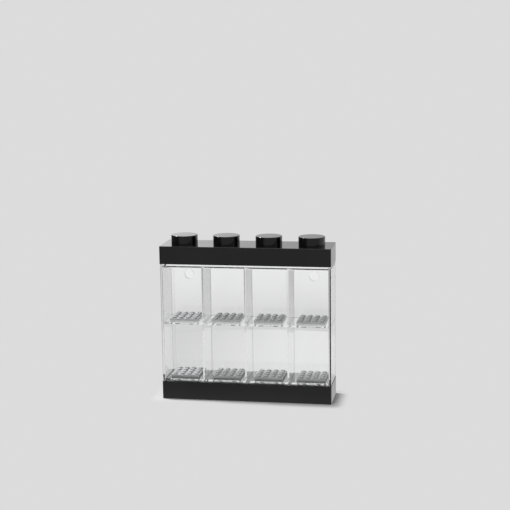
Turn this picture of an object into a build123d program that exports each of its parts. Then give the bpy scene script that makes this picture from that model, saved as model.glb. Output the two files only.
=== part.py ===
# Figure display case: black base, clear rack of eight compartments, clear lift-off hood,
# black lid with four large studs, and eight studded plates that stand in the compartments.
# Millimetres. X runs along the case, Y from the front to the back, Z up.
# The origin is the middle of the underside of the base.

import os

from build123d import *

# Outer size
case_width = 191.0
case_depth = 47.0
base_height = 20.0
clear_height = 134.0
lid_height = 20.0

# Large studs on the lid, and the sockets under the base that take the studs of another case
stud_count = 4
stud_radius = 14.8
stud_height = 10.0
stud_rim = 0.6
stud_wall = 2.0
socket_clearance = 0.2
socket_wall = 2.0

# Walls and edges of the base and the lid
shell_wall = 1.6
base_top = 2.5
lid_top = 2.0
shell_corner = 1.5
shell_edge = 0.5
web_wall = 1.6

# Clear hood: front, two sides and top, with lips behind the rack's back panel
cover_inset = 0.4
cover_wall = 2.2
cover_corner = 2.0
cover_inner_corner = 0.8
cover_ceiling_corner = 1.5
rear_lip_wall = 1.3
rear_lip_reach = 3.0
top_tongue_height = 2.5
bottom_tongue_height = 1.5
fit_gap = 0.2

# Clear rack
back_wall = 1.6
panel_wall = 2.0
divider_wall = 1.8
compartment_columns = 4
foot_height = 1.2
shelf_top_height = 88.0
panel_corner = 1.5
roof_edge = 1.4
tab_width = 170.0
tab_drop = 8.0

# Keyholes in the back panel
keyhole_radius = 5.4
keyhole_height = 135.2
keyhole_slot_radius = 2.25
keyhole_slot_rise = 11.5

# Studded plates for the figures
grid_pitch = 8.0
grid_studs = 4
plate_side_gap = 0.2
plate_height = 2.2
plate_top = 1.0
plate_wall = 1.5
small_stud_radius = 2.4
small_stud_height = 1.7
tube_radius = 3.25
peg_gap = 0.07
peg_height = 1.0

# Heights worked out from the sizes above
clear_floor = base_height
lid_floor = base_height + clear_height
lid_roof = lid_floor + lid_height
rack_floor = clear_floor + foot_height + panel_wall
cover_ceiling = lid_floor - cover_wall
rack_roof = cover_ceiling - fit_gap
shelf_heights = [rack_floor, shelf_top_height]

# Half widths and faces of the clear parts
cover_half_width = case_width / 2 - cover_inset
cover_half_depth = case_depth / 2 - cover_inset
cover_inner_half = cover_half_width - cover_wall
cover_inner_front = -(cover_half_depth - cover_wall)
rack_half = cover_inner_half - fit_gap
rack_front = cover_inner_front + fit_gap
back_panel_rear = cover_half_depth - rear_lip_wall - fit_gap
back_face = back_panel_rear - back_wall

# The thin tongues of the cover that stand inside the walls of the lid and in the base's groove
tongue_half_width = case_width / 2 - shell_wall - fit_gap
tongue_front = -(case_depth / 2 - shell_wall - fit_gap)

# Places of what repeats
stud_pitch = case_width / stud_count
compartment_pitch = case_width / compartment_columns
stud_places = [(i - (stud_count - 1) / 2) * stud_pitch for i in range(stud_count)]
column_places = [
    (i - (compartment_columns - 1) / 2) * compartment_pitch for i in range(compartment_columns)
]
divider_places = [x + compartment_pitch / 2 for x in column_places[:-1]]
plate_side = grid_studs * grid_pitch - plate_side_gap
plate_middle = back_face - plate_side_gap - plate_side / 2


def block(x0, x1, y0, y1, z0, z1):
    """A box between two opposite corners."""
    middle = Pos((x0 + x1) / 2, (y0 + y1) / 2, (z0 + z1) / 2)
    return middle * Box(x1 - x0, y1 - y0, z1 - z0)


def rod(x, y, radius, z0, z1):
    """An upright cylinder."""
    return Pos(x, y, (z0 + z1) / 2) * Cylinder(radius, z1 - z0)


def grid_places(count, pitch):
    """Places of a square grid about its middle."""
    steps = [(i - (count - 1) / 2) * pitch for i in range(count)]
    return [(x, y) for x in steps for y in steps]


def shell_block(z0, z1):
    """The rounded outer block of the base or the lid."""
    body = block(-case_width / 2, case_width / 2, -case_depth / 2, case_depth / 2, z0, z1)
    return fillet(body.edges().filter_by(Axis.Z), shell_corner)


def shell_hollow(z0, z1):
    """The room inside the walls of the base or the lid."""
    half_width = case_width / 2 - shell_wall
    half_depth = case_depth / 2 - shell_wall
    return block(-half_width, half_width, -half_depth, half_depth, z0, z1)


def tongue_ring(z0, z1, spare):
    """The cover's tongue along its front and sides, widened by spare on both faces."""
    outer = block(
        -tongue_half_width - spare, tongue_half_width + spare,
        tongue_front - spare, back_panel_rear + spare, z0, z1,
    )
    inner_half = cover_inner_half - spare
    inner = block(-inner_half, inner_half, cover_inner_front + spare, case_depth, z0, z1)
    return outer - inner


def make_base():
    """Black base: hollow from below, with stacking sockets, a groove and a slot on top."""
    deck = base_height - base_top
    body = shell_block(0, base_height)
    body = fillet(body.edges().group_by(Axis.Z)[0], shell_edge)
    body -= shell_hollow(0, deck)
    socket_radius = stud_radius + socket_clearance
    wall_reach = case_depth / 2 - shell_wall
    for x in divider_places:
        body += block(x - web_wall / 2, x + web_wall / 2, -wall_reach, wall_reach, 0, deck)
    for x in stud_places:
        body += rod(x, 0, socket_radius + socket_wall, 0, deck)
    for x in stud_places:
        body -= rod(x, 0, socket_radius, 0, deck)
    # Slot for the tab of the rack's back panel, open to the hollow below
    slot_half = tab_width / 2 + fit_gap
    slot_floor = base_height - base_top - tab_drop
    body -= block(-slot_half, slot_half, back_face - fit_gap, wall_reach, slot_floor, base_height)
    # Groove for the cover's lower tongue
    body -= tongue_ring(base_height - bottom_tongue_height - fit_gap, base_height, fit_gap)
    return body


def make_lid():
    """Black lid: hollow from below, with four hollow studs."""
    roof = lid_roof - lid_top
    body = shell_block(lid_floor, lid_roof)
    body = fillet(body.edges().group_by(Axis.Z)[-1], shell_edge)
    for x in stud_places:
        stud = rod(x, 0, stud_radius, lid_roof, lid_roof + stud_height)
        body += fillet(stud.edges().group_by(Axis.Z)[-1], stud_rim)
    body -= shell_hollow(lid_floor, roof)
    for x in stud_places:
        body -= rod(x, 0, stud_radius - stud_wall, roof, lid_roof + stud_height - stud_wall)
    return body


def make_cover():
    """Clear hood: front, sides and top, that slides up along the rack's back panel."""
    outer = block(
        -cover_half_width, cover_half_width, -cover_half_depth, cover_half_depth,
        clear_floor, lid_floor,
    )
    outer = fillet(outer.edges().filter_by(Axis.Z).group_by(Axis.Y)[0], cover_corner)
    lip_front = cover_half_depth - rear_lip_wall
    room = block(
        -cover_inner_half, cover_inner_half, cover_inner_front, lip_front, clear_floor, cover_ceiling
    )
    room = fillet(room.edges().filter_by(Axis.Y).group_by(Axis.Z)[-1], cover_ceiling_corner)
    room = fillet(room.edges().filter_by(Axis.Z).group_by(Axis.Y)[0], cover_inner_corner)
    lip_end = cover_inner_half - rear_lip_reach
    mouth = block(-lip_end, lip_end, back_panel_rear, case_depth, clear_floor, cover_ceiling)
    body = outer - room - mouth
    body += tongue_ring(lid_floor, lid_floor + top_tongue_height, 0)
    body += tongue_ring(clear_floor - bottom_tongue_height, clear_floor, 0)
    return body


def keyhole(x):
    """Round entry with a narrower slot above it, cut through the back panel."""
    front, rear = back_face - fit_gap, back_panel_rear + fit_gap
    turn = Pos(x, (front + rear) / 2, keyhole_height) * Rot(90, 0, 0)
    entry = turn * Cylinder(keyhole_radius, rear - front)
    end = Pos(0, 0, keyhole_slot_rise) * turn * Cylinder(keyhole_slot_radius, rear - front)
    slot = block(
        x - keyhole_slot_radius, x + keyhole_slot_radius, front, rear,
        keyhole_height, keyhole_height + keyhole_slot_rise,
    )
    return entry + end + slot


def panel(top, rear):
    """A level panel of the rack, with rounded front corners."""
    body = block(-rack_half, rack_half, rack_front, rear, top - panel_wall, top)
    return fillet(body.edges().filter_by(Axis.Z).group_by(Axis.Y)[0], panel_corner)


def make_rack():
    """Clear rack: back panel, floor, shelf and roof panels, dividers, feet and pegs."""
    floor_underside = rack_floor - panel_wall
    body = block(
        -rack_half, rack_half, back_face, back_panel_rear, floor_underside, rack_roof - panel_wall
    )
    tab_half = tab_width / 2
    body += block(
        -tab_half, tab_half, back_face, back_panel_rear, base_height - tab_drop, floor_underside
    )
    for top in shelf_heights:
        body += panel(top, back_face)
    roof = panel(rack_roof, back_panel_rear)
    roof_edges = roof.edges().group_by(Axis.Z)[-1].sort_by(Axis.Y)[:-1]
    body += fillet(roof_edges, roof_edge)
    half_divider = divider_wall / 2
    for x in divider_places:
        body += block(
            x - half_divider, x + half_divider, rack_front, back_face, rack_floor, rack_roof - panel_wall
        )
    foot_places = [-rack_half + half_divider] + divider_places + [rack_half - half_divider]
    foot_front = rack_front + panel_corner
    for x in foot_places:
        body += block(
            x - half_divider, x + half_divider, foot_front, back_face, clear_floor, floor_underside
        )
    for x in (column_places[0], column_places[-1]):
        body -= keyhole(x)
    for top in shelf_heights:
        for column in column_places:
            for dx, dy in grid_places(2, 2 * grid_pitch):
                body += rod(
                    column + dx, plate_middle + dy, small_stud_radius - peg_gap, top, top + peg_height
                )
    return body


def make_plate(column, floor):
    """Grey plate: four by four small studs on top, walls and tubes underneath."""
    half = plate_side / 2
    left, right = column - half, column + half
    front, rear = plate_middle - half, plate_middle + half
    body = block(left, right, front, rear, floor, floor + plate_height)
    ceiling = floor + plate_height - plate_top
    body -= block(
        left + plate_wall, right - plate_wall, front + plate_wall, rear - plate_wall, floor, ceiling
    )
    for dx, dy in grid_places(grid_studs - 1, grid_pitch):
        tube = rod(column + dx, plate_middle + dy, tube_radius, floor, ceiling)
        body += tube - rod(column + dx, plate_middle + dy, small_stud_radius, floor, ceiling)
    top = floor + plate_height
    for dx, dy in grid_places(grid_studs, grid_pitch):
        body += rod(
            column + dx, plate_middle + dy, small_stud_radius, top, top + small_stud_height
        )
    return body


os.makedirs("parts", exist_ok=True)
pieces = {
    "base": make_base(),
    "lid": make_lid(),
    "front_cover": make_cover(),
    "rack": make_rack(),
}
for row, floor in zip(("lower", "upper"), shelf_heights):
    for number, column in enumerate(column_places, start=1):
        pieces[f"figure_plate_{row}_{number}"] = make_plate(column, floor)
for name, shape in pieces.items():
    export_step(shape, f"parts/{name}.step")
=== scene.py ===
import math

import bpy
import numpy as np
from mathutils import Matrix, Vector


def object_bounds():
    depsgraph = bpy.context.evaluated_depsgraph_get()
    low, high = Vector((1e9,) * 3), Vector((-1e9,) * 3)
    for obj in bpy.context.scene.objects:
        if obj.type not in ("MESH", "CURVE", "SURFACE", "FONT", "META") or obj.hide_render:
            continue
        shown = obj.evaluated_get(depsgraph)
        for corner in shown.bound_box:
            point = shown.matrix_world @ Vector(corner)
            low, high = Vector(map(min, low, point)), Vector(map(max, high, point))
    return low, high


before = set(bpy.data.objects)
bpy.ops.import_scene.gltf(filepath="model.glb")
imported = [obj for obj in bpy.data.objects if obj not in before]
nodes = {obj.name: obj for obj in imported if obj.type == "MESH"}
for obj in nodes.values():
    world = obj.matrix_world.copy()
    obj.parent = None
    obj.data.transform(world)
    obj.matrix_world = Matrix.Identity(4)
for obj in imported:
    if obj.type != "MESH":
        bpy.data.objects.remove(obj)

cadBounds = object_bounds()
print("frame loaded:", len(nodes), "nodes")


class Wire:  # a socket that sums, products and powers can be written with
    def __init__(self, finish, socket):
        self.finish, self.socket = finish, socket

    def __add__(self, other):
        return self.finish.maths("ADD", self, other)

    def __radd__(self, other):
        return self.finish.maths("ADD", other, self)

    def __sub__(self, other):
        return self.finish.maths("SUBTRACT", self, other)

    def __rsub__(self, other):
        return self.finish.maths("SUBTRACT", other, self)

    def __mul__(self, other):
        return self.finish.maths("MULTIPLY", self, other)

    def __rmul__(self, other):
        return self.finish.maths("MULTIPLY", other, self)

    def __truediv__(self, other):
        return self.finish.maths("DIVIDE", self, other)

    def __pow__(self, other):
        return self.finish.maths("POWER", self, other)

    def sister(self, name):  # another output of the same node
        return Wire(self.finish, self.socket.node.outputs[name])


class Finish:  # a material or the world, with one method that adds any node
    def __init__(self, owner):
        owner.use_nodes = True
        self.owner, self.tree = owner, owner.node_tree
        self.tree.nodes.clear()

    def node(self, kind, settings=None, sockets=None, out=0):
        made = self.tree.nodes.new(kind)
        for name, value in (settings or {}).items():
            setattr(made, name, value)
        for name, value in (sockets or {}).items():
            if isinstance(value, Wire):
                self.tree.links.new(value.socket, made.inputs[name])
            else:
                made.inputs[name].default_value = value
        return Wire(self, made.outputs[out])

    def maths(self, operation, *values):
        return self.node("ShaderNodeMath", {"operation": operation}, dict(enumerate(values)))

    def larger(self, first, second):
        return self.maths("MAXIMUM", first, second)

    def size(self, value):  # without its sign
        return self.maths("ABSOLUTE", value)

    def place(self):
        return self.node("ShaderNodeTexCoord", out="Object")

    def split(self, vector):  # its three parts
        parts = self.node("ShaderNodeSeparateXYZ", {}, {0: vector})
        return [parts.sister(axis) for axis in "XYZ"]

    def noise(self, scale, detail=2.0, stretch=(1, 1, 1)):
        where = self.node("ShaderNodeMapping", {}, {"Vector": self.place(), "Scale": stretch})
        return self.node("ShaderNodeTexNoise", {}, {"Vector": where, "Scale": scale, "Detail": detail})

    def between(self, value, low, high, toLow=0.0, toHigh=1.0):  # smooth step, clamped
        return self.node(
            "ShaderNodeMapRange", {"interpolation_type": "SMOOTHSTEP"},
            {"Value": value, "From Min": low, "From Max": high, "To Min": toLow, "To Max": toHigh},
        )

    def blend(self, amount, first, second):  # first colour where amount is 0, second where it is 1
        return self.node(
            "ShaderNodeMix", {"data_type": "RGBA"}, {0: amount, 6: (*first, 1), 7: (*second, 1)}, out=2
        )

    def bump(self, height, strength, distance):
        return self.node(
            "ShaderNodeBump", {}, {"Height": height, "Strength": strength, "Distance": distance}
        )

    def end(self, shader, kind="ShaderNodeOutputMaterial"):
        last = self.tree.nodes.new(kind)
        self.tree.links.new(shader.socket, last.inputs["Surface"])
        return self.owner


def newMaterial(name):
    return Finish(bpy.data.materials.new(name))


def evenGrey(tone):
    return (tone, tone, tone, 1)


# In the dictionaries below, a pair whose name ends in At is where a change starts and where it ends

# Black moulded plastic of the base and the lid: almost no body colour, so its tone is what it mirrors
blackSizes = {
    "body": (0.0035, 0.0035, 0.0037), "worn": (0.006, 0.006, 0.0062), "wornAt": (0.4, 0.75),
    "patches": 26.0, "patchDetail": 4.0, "smooth": 0.09, "dull": 0.17, "dullAt": (0.35, 0.7),
    "grain": 1900.0, "grainStrength": 0.25, "grainDepth": 0.000012, "ior": 1.5,
}

# Grey moulded plastic of the studded plates
greySizes = {
    "body": (0.40, 0.405, 0.41), "worn": (0.45, 0.455, 0.46), "wornAt": (0.35, 0.7),
    "patches": 60.0, "patchDetail": 3.0, "smooth": 0.24, "dull": 0.36, "dullAt": (0.3, 0.7),
    "grain": 2400.0, "grainStrength": 0.3, "grainDepth": 0.00001, "ior": 1.5,
}


def mouldedPlastic(name, d):  # wide patches change its colour and gloss, and a fine grain its surface
    mat = newMaterial(name)
    patches = mat.noise(d["patches"], d["patchDetail"])
    grain = mat.noise(d["grain"])
    return mat.end(mat.node("ShaderNodeBsdfPrincipled", {}, {
        "Base Color": mat.blend(mat.between(patches, *d["wornAt"]), d["body"], d["worn"]),
        "Roughness": mat.between(patches, *d["dullAt"], d["smooth"], d["dull"]),
        "IOR": d["ior"],
        "Normal": mat.bump(grain, d["grainStrength"], d["grainDepth"]),
    }))


# Clear polystyrene of the cover and the rack, slightly wavy from the mould
clearSizes = {
    "tint": {"cover": (0.985, 0.987, 0.986), "rack": (0.98, 0.983, 0.982)},
    "haze": {"cover": (0.975, 0.978, 0.977), "rack": (0.965, 0.968, 0.967)},
    "wave": {"cover": 34.0, "rack": 28.0},
    "waveDepth": {"cover": 0.000012, "rack": 0.000015},
    "waveDetail": 1.5, "waveStretch": (1, 1, 0.45), "waveStrength": 0.3, "hazeAt": (0.35, 0.65),
    "smooth": 0.0, "dull": 0.02, "dullAt": (0.3, 0.7), "ior": 1.57,
    "straightTint": 0.985, "trappedAt": (8.4, 8.6), "trappedGlow": 0.5,
}


def clearPlastic(which):
    d, mat = clearSizes, newMaterial(which + "Plastic")
    flow = mat.noise(d["wave"][which], d["waveDetail"], d["waveStretch"])
    body = mat.node("ShaderNodeBsdfPrincipled", {}, {
        "Base Color": mat.blend(mat.between(flow, *d["hazeAt"]), d["tint"][which], d["haze"][which]),
        "Roughness": mat.between(flow, *d["dullAt"], d["smooth"], d["dull"]),
        "IOR": d["ior"],
        "Transmission Weight": 1.0,
        "Normal": mat.bump(flow, d["waveStrength"], d["waveDepth"][which]),
    })
    # It is real glass where it is seen. Shadow and diffuse rays, which light the inside, go straight on,
    # and a ray that has turned more than eight times meets a painted even grey glow in place of the
    # light it would carry
    path = mat.node("ShaderNodeLightPath")
    inside = mat.larger(path.sister("Is Shadow Ray"), path.sister("Is Diffuse Ray"))
    trapped = mat.between(path.sister("Ray Depth"), *d["trappedAt"])
    straight = mat.node("ShaderNodeBsdfTransparent", {}, {"Color": evenGrey(d["straightTint"])})
    glow = mat.node("ShaderNodeEmission", {}, {"Strength": d["trappedGlow"]})
    clear = mat.node("ShaderNodeMixShader", {}, {0: inside, 1: body, 2: straight})
    return mat.end(mat.node("ShaderNodeMixShader", {}, {0: trapped, 1: clear, 2: glow}))


def dress(node, material):
    node.data.materials.clear()
    node.data.materials.append(material)


black, grey = mouldedPlastic("blackPlastic", blackSizes), mouldedPlastic("greyPlastic", greySizes)
dress(nodes["base"], black)
dress(nodes["lid"], black)
dress(nodes["front_cover"], clearPlastic("cover"))
dress(nodes["rack"], clearPlastic("rack"))
for name, node in nodes.items():
    if name.startswith("figure_plate"):
        dress(node, grey)
print("finishes on")


# Tones that the floor and the world share: the plain background, and the darker front that faces mirror,
# painted on the floor for reflections only
roomTones = {"pale": 0.716, "front": 0.42}

# Pale floor: lit close to the case, where its shadow falls, and as plain as the background further out
floorSizes = {
    "radius": 0.32, "corners": 96, "paint": 0.60, "plainAt": (0.001, 0.017), "frontAt": (0.02, -0.09),
    # through: painted light on the floor where it shows through plastic, brighter to the right
    "throughAt": (-0.16, 0.04), "throughLeft": 0.96, "throughRight": 1.18,
}


def makeFloor():  # a flat disc, its rim the cosine and sine of even turns
    d = floorSizes
    turns = np.linspace(0, 2 * np.pi, d["corners"] + 1)[:-1]
    rim = np.stack([np.cos(turns), np.sin(turns), np.zeros_like(turns)], 1) * d["radius"]
    mesh = bpy.data.meshes.new("floor")
    mesh.from_pydata(rim.tolist(), [], [list(range(len(turns)))])
    floor = bpy.data.objects.new("floor", mesh)
    bpy.context.scene.collection.objects.link(floor)
    mat = newMaterial("floorPaint")
    x, y = mat.split(mat.place())[:2]
    halfWidth, halfDepth = [(high - low) / 2 for low, high in zip(*cadBounds)][:2]
    aside = mat.larger(mat.size(x) - halfWidth, 0.0)
    before = mat.larger(mat.size(y) - halfDepth, 0.0)
    away = (aside * aside + before * before) ** 0.5  # distance from the case's footprint
    lit = mat.node("ShaderNodeBsdfDiffuse", {}, {"Color": evenGrey(d["paint"])})
    # The plain floor carries a painted darker reflection in front, seen only by faces that mirror it,
    # and painted light, brighter to the right, where it shows through plastic
    path = mat.node("ShaderNodeLightPath")
    through = path.sister("Is Transmission Ray")
    mirrored = path.sister("Is Glossy Ray") * (1.0 - through)
    # Painted reflection: the floor in front turns darker only for rays that faces mirror
    ahead = mat.between(y, *d["frontAt"], 0.0, roomTones["pale"] - roomTones["front"]) * mirrored
    # Painted light: seen through the plastic, the floor brightens from left to right
    paintedThroughLight = mat.between(x, *d["throughAt"], d["throughLeft"], d["throughRight"])
    glow = roomTones["pale"] * (1.0 + through * (paintedThroughLight - 1.0)) - ahead
    plain = mat.node("ShaderNodeEmission", {}, {"Strength": glow})
    amount = mat.larger(mat.between(away, *d["plainAt"]), mirrored)
    dress(floor, mat.end(mat.node("ShaderNodeMixShader", {}, {0: amount, 1: lit, 2: plain})))


# Sky by the direction of the ray, with x to the right, y to the back and z up
skySizes = {
    "panelX": -0.30, "panelZ": 0.17, "panelWide": 0.010, "panelTall": 0.03, "panelGlow": 0.9,
    "panelAt": (0.2, 0.6), "frontAt": (0.1, -0.5), "leftAt": (-0.35, -0.8), "leftDark": 0.9,
    "riseAt": (-0.24, -0.185), "behindLow": 0.67, "behindTop": 0.88,
    "cardRightAt": (0.02, 0.08), "cardTopAt": (-0.25, -0.19), "card": 0.36,
    "backAt": (0.3, 0.6), "turnAt": (-0.3, -0.6), "aside": 0.40, "inFront": 0.72,
    "softAt": (0.7, -0.6), "softDark": 0.34, "softBright": 0.90,
}


def makeWorld():
    d = skySizes
    world = bpy.data.worlds.new("studio")
    bpy.context.scene.world = world
    sky = Finish(world)
    x, y, z = sky.split(sky.node("ShaderNodeTexCoord", out="Generated"))
    path = sky.node("ShaderNodeLightPath")
    seen, through = path.sister("Is Camera Ray"), path.sister("Is Transmission Ray")
    mirrored = path.sister("Is Glossy Ray") * (1.0 - through)
    # Mirrored: a soft pale panel behind and to the left, a dark side on the left and a darker front
    across, up = x - d["panelX"], z - d["panelZ"]
    fall = across * across / d["panelWide"] + up * up / d["panelTall"]
    panel = sky.maths("EXPONENT", fall * -1.0) * sky.between(y, *d["panelAt"]) * d["panelGlow"]
    leftSide = sky.between(x, *d["leftAt"])
    front = sky.between(y, *d["frontAt"], roomTones["pale"], roomTones["front"])
    room = (front + panel) * (1.0 - leftSide * d["leftDark"])
    # Through the plastic: the background, brighter towards the top, with a dark card to its right, a
    # darker studio to the sides and a pale one when seen from behind
    rise = sky.between(z, *d["riseAt"], d["behindLow"], d["behindTop"])
    card = sky.between(x, *d["cardRightAt"]) * sky.between(z, *d["cardTopAt"])
    behind = rise * (1.0 - card) + card * d["card"]
    back = sky.between(y, *d["backAt"])
    turned = sky.between(y, *d["turnAt"], d["aside"], d["inFront"])
    beyond = behind * back + (1.0 - back) * turned
    # What lights the matt faces: soft, and brighter from the left
    soft = sky.between(x, *d["softAt"], d["softDark"], d["softBright"])
    other = (1.0 - mirrored) * soft + mirrored * room
    indirect = (1.0 - through) * other + through * beyond
    strength = seen * roomTones["pale"] + (1.0 - seen) * indirect
    light = sky.node("ShaderNodeBackground", {}, {"Color": (1, 1, 1, 1), "Strength": strength})
    sky.end(light, "ShaderNodeOutputWorld")


lamps = {
    "keyLamp": {"place": (-0.9, 0.25, 1.25), "aim": (0, 0, 0.09), "size": 0.25, "power": 19},
    "topLamp": {"place": (-0.2, -0.7, 1.5), "aim": (0, 0, 0), "size": 0.6, "power": 3},
}


def makeLamp(name):
    d = lamps[name]
    data = bpy.data.lights.new(name, "AREA")
    data.shape, data.size, data.energy = "DISK", d["size"], d["power"]
    lamp = bpy.data.objects.new(name, data)
    lamp.location = d["place"]
    lamp.rotation_euler = (Vector(d["aim"]) - Vector(d["place"])).to_track_quat("-Z", "Y").to_euler()
    bpy.context.scene.collection.objects.link(lamp)


# Camera fitted to the photo's edges: yaw from the back towards the right, pitch downwards, in radians
cameraSizes = {
    "place": (0.25224, -1.36415, 0.41002), "yaw": -0.17711, "pitch": 0.17713, "roll": -0.01343,
    "focalPixels": 1269.12, "photoPixels": 510, "sensor": 36.0, "near": 0.05, "far": 20.0,
}


def makeCamera():
    d = cameraSizes
    data = bpy.data.cameras.new("camera")
    data.sensor_width, data.lens = d["sensor"], d["focalPixels"] / d["photoPixels"] * d["sensor"]
    data.clip_start, data.clip_end = d["near"], d["far"]
    camera = bpy.data.objects.new("camera", data)
    yaw, pitch, roll = d["yaw"], d["pitch"], d["roll"]
    ahead = Vector((math.sin(yaw) * math.cos(pitch), math.cos(yaw) * math.cos(pitch), -math.sin(pitch)))
    level = Vector((math.cos(yaw), -math.sin(yaw), 0))
    upright = level.cross(ahead)
    right = math.cos(roll) * level + math.sin(roll) * upright
    top = -math.sin(roll) * level + math.cos(roll) * upright
    turn = Matrix((right, top, -ahead)).transposed().to_4x4()
    camera.matrix_world = Matrix.Translation(d["place"]) @ turn
    bpy.context.scene.collection.objects.link(camera)
    bpy.context.scene.camera = camera


makeFloor()
makeWorld()
for name in lamps:
    makeLamp(name)
makeCamera()
bpy.context.scene.view_settings.view_transform = "Standard"
print("room lit and camera set")
